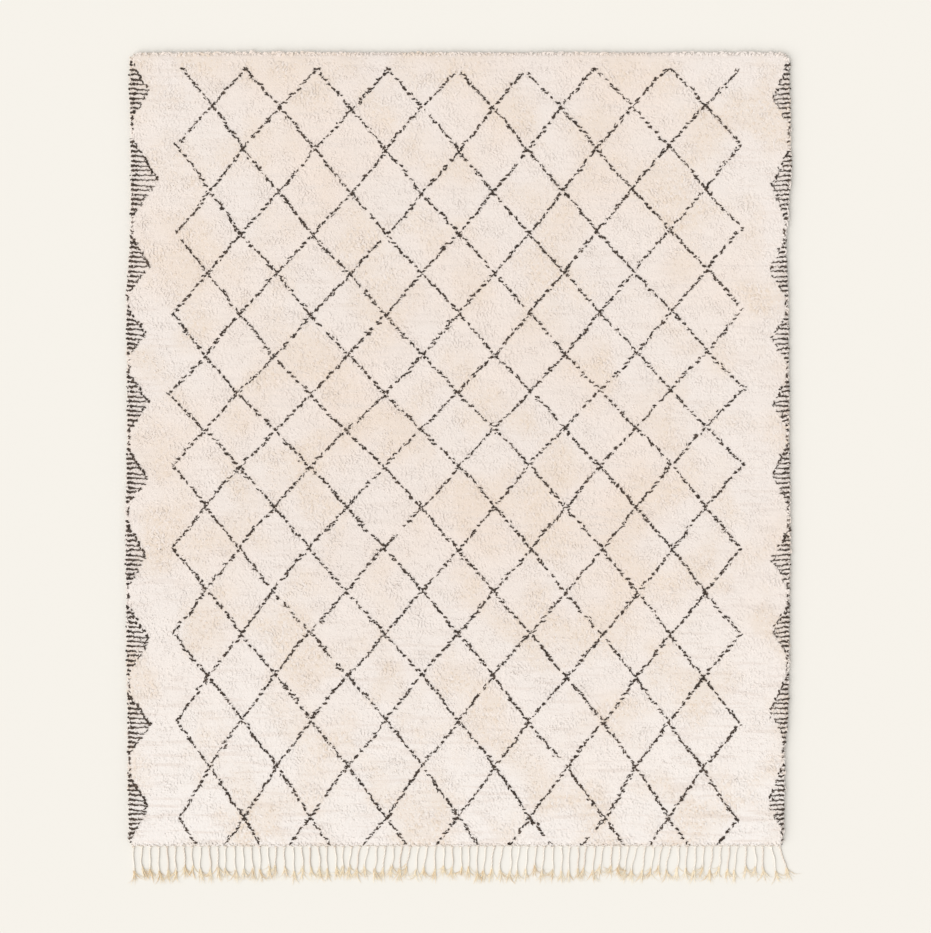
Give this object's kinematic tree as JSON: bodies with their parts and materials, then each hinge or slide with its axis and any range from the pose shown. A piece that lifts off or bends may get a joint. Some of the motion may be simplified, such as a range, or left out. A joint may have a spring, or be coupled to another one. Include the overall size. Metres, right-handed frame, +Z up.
{
  "type": "beni ourain rug",
  "caption": "Thick ivory hand-knotted wool rug with a dark lozenge lattice, comb-like side triangles and a knotted warp fringe along one end, lying flat.",
  "frame": {"origin": "on the floor, under the centre of the whole rug, fringe included", "axes": "+X across the rug; +Y along its length, away from the fringe; +Z up, out of the pile"},
  "size_m": [2.5148, 3.143, 0.025],
  "materials": {
    "pile_wool": "matt long-pile ivory wool with dark brown-black pattern knots",
    "warp_wool": "matt twisted ivory wool cords with frayed golden-ivory ends"
  },
  "bodies": {
    "root": {"rug_body": "pile_wool", "fringe": "warp_wool"}
  },
  "joints": []
}
